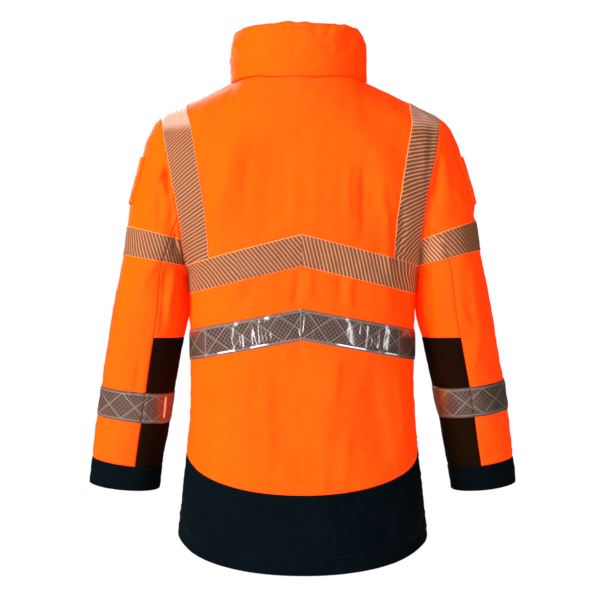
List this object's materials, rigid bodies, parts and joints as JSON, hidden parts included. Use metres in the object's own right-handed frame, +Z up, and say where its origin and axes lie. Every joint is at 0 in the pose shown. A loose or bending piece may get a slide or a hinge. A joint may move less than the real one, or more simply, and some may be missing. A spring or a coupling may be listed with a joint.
{
  "type": "hi-vis work jacket",
  "caption": "Hollow hi-vis work jacket, filled out as if worn: tall stuffed collar, curved drop-tail hem band, two-piece sleeves, reflective tape, front zip.",
  "frame": {"origin": "the middle of the neck opening, at the level where the collar is sewn on, where the jacket is held from inside", "axes": "+Z up along the jacket's length, +Y out of its back, +X to the wearer's left"},
  "size_m": [0.7229, 0.3181, 0.8832],
  "materials": {
    "orange_shell": "matt coated orange shell cloth",
    "navy_shell": "matt near-black navy shell cloth",
    "dark_shell": "matt dark brown-black shell cloth",
    "striped_tape": "segmented heat-applied reflective tape on orange, slanted grey stripes",
    "prismatic_tape": "glossy grey prismatic reflective tape with welded border and cross lines",
    "zip_tape": "black woven zip tape with moulded teeth",
    "zip_metal": "satin metal zip slider and pull tab"
  },
  "bodies": {
    "garment": {"back": "orange_shell", "front_left": "orange_shell", "front_right": "orange_shell", "collar": "orange_shell", "hem_back": "navy_shell", "hem_front_left": "navy_shell", "hem_front_right": "navy_shell", "sleeve_left_top": "orange_shell", "sleeve_left_under": "orange_shell", "sleeve_left_panel": "dark_shell", "cuff_left": "navy_shell", "sleeve_patch_left": "orange_shell", "sleeve_right_top": "orange_shell", "sleeve_right_under": "orange_shell", "sleeve_right_panel": "dark_shell", "cuff_right": "navy_shell", "sleeve_patch_right": "orange_shell", "tape_back_upper_left": "striped_tape", "tape_back_lower_left": "prismatic_tape", "tape_shoulder_left_back": "striped_tape", "tape_front_upper_left": "striped_tape", "tape_front_lower_left": "prismatic_tape", "tape_shoulder_left_front": "striped_tape", "tape_sleeve_left_upper": "striped_tape", "tape_sleeve_left_lower_top": "prismatic_tape", "tape_sleeve_left_lower_under": "prismatic_tape", "tape_back_upper_right": "striped_tape", "tape_back_lower_right": "prismatic_tape", "tape_shoulder_right_back": "striped_tape", "tape_front_upper_right": "striped_tape", "tape_front_lower_right": "prismatic_tape", "tape_shoulder_right_front": "striped_tape", "tape_sleeve_right_upper": "striped_tape", "tape_sleeve_right_lower_top": "prismatic_tape", "tape_sleeve_right_lower_under": "prismatic_tape", "zip_tape_left": "zip_tape", "zip_tape_right": "zip_tape", "zip_slider": "zip_metal"},
    "pull_tab": {"zip_pull": "zip_metal"}
  },
  "joints": [
    {"name": "pull_hinge", "type": "hinge", "parent": "garment", "child": "pull_tab", "pos_m": [0, -0.09278, 0.02369], "axis": [-1, 0, 0], "range_deg": [0, 150]}
  ]
}
